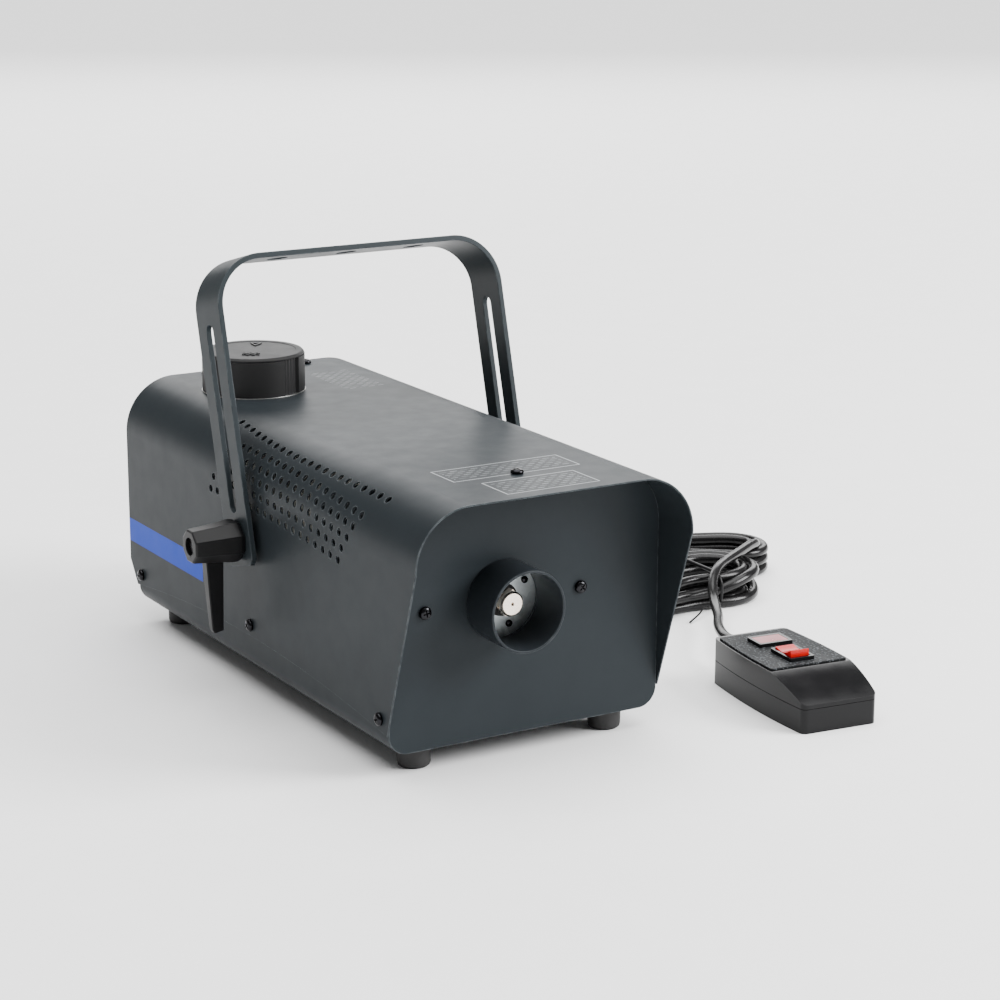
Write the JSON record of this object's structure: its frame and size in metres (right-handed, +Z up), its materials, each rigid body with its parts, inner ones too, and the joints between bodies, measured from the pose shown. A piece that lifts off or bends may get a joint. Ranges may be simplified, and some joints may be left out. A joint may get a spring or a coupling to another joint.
{
  "type": "fog machine",
  "caption": "Box-shaped stage fog machine with a front nozzle, swivel yoke, screw-capped fluid tank, wired remote control and mains lead.",
  "frame": {"origin": "on the floor under the middle of the box around the machine and its remote control, cables left out", "axes": "+Z up; -Y is the way the nozzle blows; +X is the side with the remote control"},
  "size_m": [0.4372, 0.4608, 0.2429],
  "materials": {
    "paint": "satin dark grey powder coat",
    "black_steel": "blackened steel",
    "galvanised": "galvanised sheet",
    "heater_metal": "cast",
    "nickel": "nickel plated",
    "black_plastic": "moulded",
    "remote_plastic": "moulded",
    "remote_label": "leather-grained",
    "tank_plastic": "milky blow-moulded",
    "pump_plastic": "moulded",
    "board": "varnished",
    "foot_rubber": "matte",
    "hose": "silicone",
    "cable": "satin black jacket",
    "red_rocker": "translucent red",
    "red_lamp": "translucent red"
  },
  "bodies": {
    "case": {"hood": "paint", "base_pan": "paint", "front_panel": "paint", "rear_panel": "paint", "nozzle_tube": "paint", "front_screw_left": "black_steel", "front_screw_right": "black_steel", "top_screw_front": "black_steel", "top_screw_rear_left": "black_steel", "top_screw_rear_right": "black_steel", "side_screw_left_front": "black_steel", "side_screw_left_middle": "black_steel", "side_screw_left_rear": "black_steel", "side_screw_right_front": "black_steel", "side_screw_right_middle": "black_steel", "side_screw_right_rear": "black_steel", "clamp_stud_left": "black_steel", "clamp_stud_right": "black_steel", "pivot_washer_left": "black_steel", "pivot_washer_right": "black_steel", "remote_socket": "black_steel", "heat_shield": "galvanised", "heater_plate": "galvanised", "heater_block": "heater_metal", "nozzle": "nickel", "thermostat": "black_plastic", "mains_gland": "black_plastic", "fuse_holder": "black_plastic", "remote_connector": "black_plastic", "mains_plug": "black_plastic", "remote_relief": "black_plastic", "remote_base": "remote_plastic", "remote_cover": "remote_plastic", "rocker_bezel": "remote_plastic", "lamp_bezel": "remote_plastic", "remote_label": "remote_label", "fluid_tank": "tank_plastic", "pump_body": "pump_plastic", "circuit_board": "board", "foot_front_left": "foot_rubber", "foot_front_right": "foot_rubber", "foot_rear_left": "foot_rubber", "foot_rear_right": "foot_rubber", "suction_hose": "hose", "pressure_hose": "hose", "remote_cord_front": "cable", "remote_hank": "cable", "remote_cord_rear": "cable", "mains_cord_rear": "cable", "mains_hank": "cable", "mains_cord_plug": "cable", "lamp_lens": "red_lamp"},
    "yoke": {"yoke": "paint"},
    "clamp_lever_left": {"clamp_lever_left": "black_plastic"},
    "clamp_lever_right": {"clamp_lever_right": "black_plastic"},
    "cap_thread": {"cap_seal": "foot_rubber"},
    "tank_cap": {"tank_cap": "black_plastic"},
    "rocker": {"rocker": "red_rocker"},
    "pump_plunger": {"pump_plunger": "black_steel"},
    "fuse_cap": {"fuse_cap": "black_plastic"}
  },
  "joints": [
    {"name": "yoke_swing", "type": "hinge", "parent": "case", "child": "yoke", "pos_m": [-0.03955, 0.02176, 0.0905], "axis": [1, 0, 0], "range_deg": [-33, 70]},
    {"name": "clamp_left_turn", "type": "hinge", "parent": "case", "child": "clamp_lever_left", "pos_m": [-0.13955, 0.02176, 0.0905], "axis": [-1, 0, 0], "range_deg": [0, 270]},
    {"name": "clamp_right_turn", "type": "hinge", "parent": "case", "child": "clamp_lever_right", "pos_m": [0.06045, 0.02176, 0.0905], "axis": [1, 0, 0], "range_deg": [0, 270]},
    {"name": "cap_lift", "type": "slide", "parent": "case", "child": "cap_thread", "axis": [0, 0, 1], "range_m": [0, 0.008]},
    {"name": "cap_turn", "type": "hinge", "parent": "cap_thread", "child": "tank_cap", "pos_m": [-0.06585, 0.12896, 0.16], "axis": [0, 0, 1], "range_deg": [0, 720]},
    {"name": "rocker_tilt", "type": "hinge", "parent": "case", "child": "rocker", "pos_m": [0.12916, -0.14033, 0.0262], "axis": [0.9948, -0.1019, 0], "range_deg": [0, 16]},
    {"name": "plunger_stroke", "type": "slide", "parent": "case", "child": "pump_plunger", "axis": [0, 1, 0], "range_m": [-0.0015, 0.0015], "stiffness_N_per_m": 300},
    {"name": "fuse_cap_turn", "type": "hinge", "parent": "case", "child": "fuse_cap", "pos_m": [-0.01755, 0.18676, 0.038], "axis": [0, 1, 0], "range_deg": [0, 90]}
  ],
  "couplings": [
    {"joint": "cap_lift", "follows": "cap_turn", "m_per_rad": 0.000636}
  ]
}
